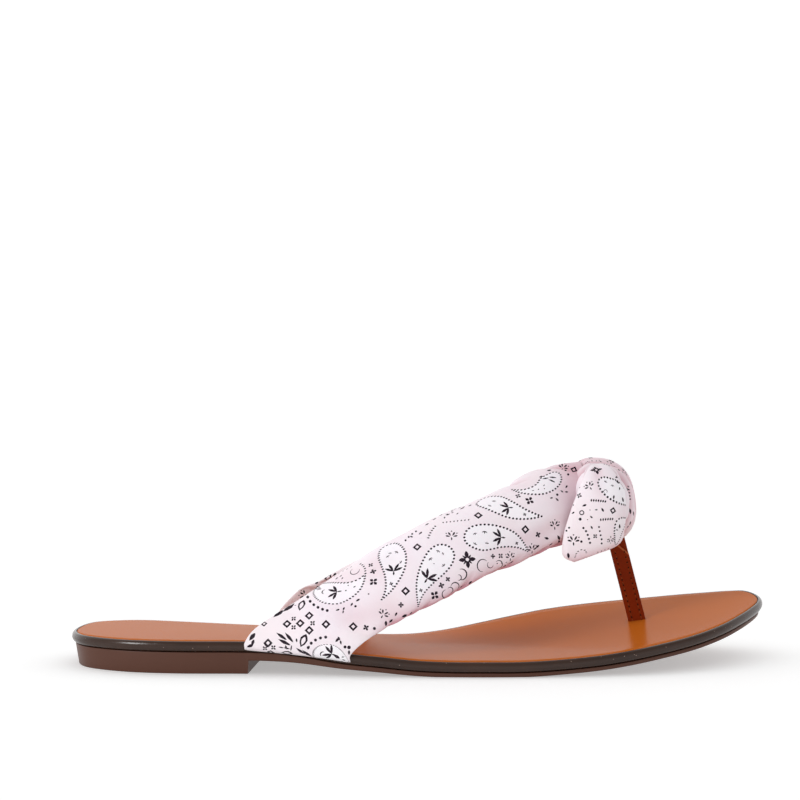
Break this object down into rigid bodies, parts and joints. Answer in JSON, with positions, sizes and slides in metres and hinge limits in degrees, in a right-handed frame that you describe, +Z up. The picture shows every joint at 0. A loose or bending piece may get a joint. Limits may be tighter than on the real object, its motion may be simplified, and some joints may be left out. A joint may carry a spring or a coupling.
{
  "type": "flip-flop sandal",
  "caption": "Flat thong sandal for a right foot with padded cloth straps knotted over a leather toe post, a shaped insole and a moulded outsole with a low heel.",
  "frame": {"origin": "on the floor, under the middle of the shoe's length and width", "axes": "+X to the toe, +Y to the inner side of the right foot, +Z up"},
  "size_m": [0.2496, 0.0902, 0.0727],
  "materials": {
    "sole_rubber": "smooth moulded rubber, dark brown, satin",
    "edge_finish": "painted and waxed edge, nearly black brown, glossy",
    "insole_leather": "smooth tan leather, satin",
    "strap_cloth": "pale pink satin weave with a traditional paisley bandana print in near black",
    "post_leather": "red brown leather with a stitched fold, satin"
  },
  "bodies": {
    "root": {"outsole": "sole_rubber", "insole_board": "edge_finish", "insole_cover": "insole_leather", "upper": "strap_cloth", "knot_tail": "strap_cloth", "toe_post": "post_leather"}
  },
  "joints": []
}
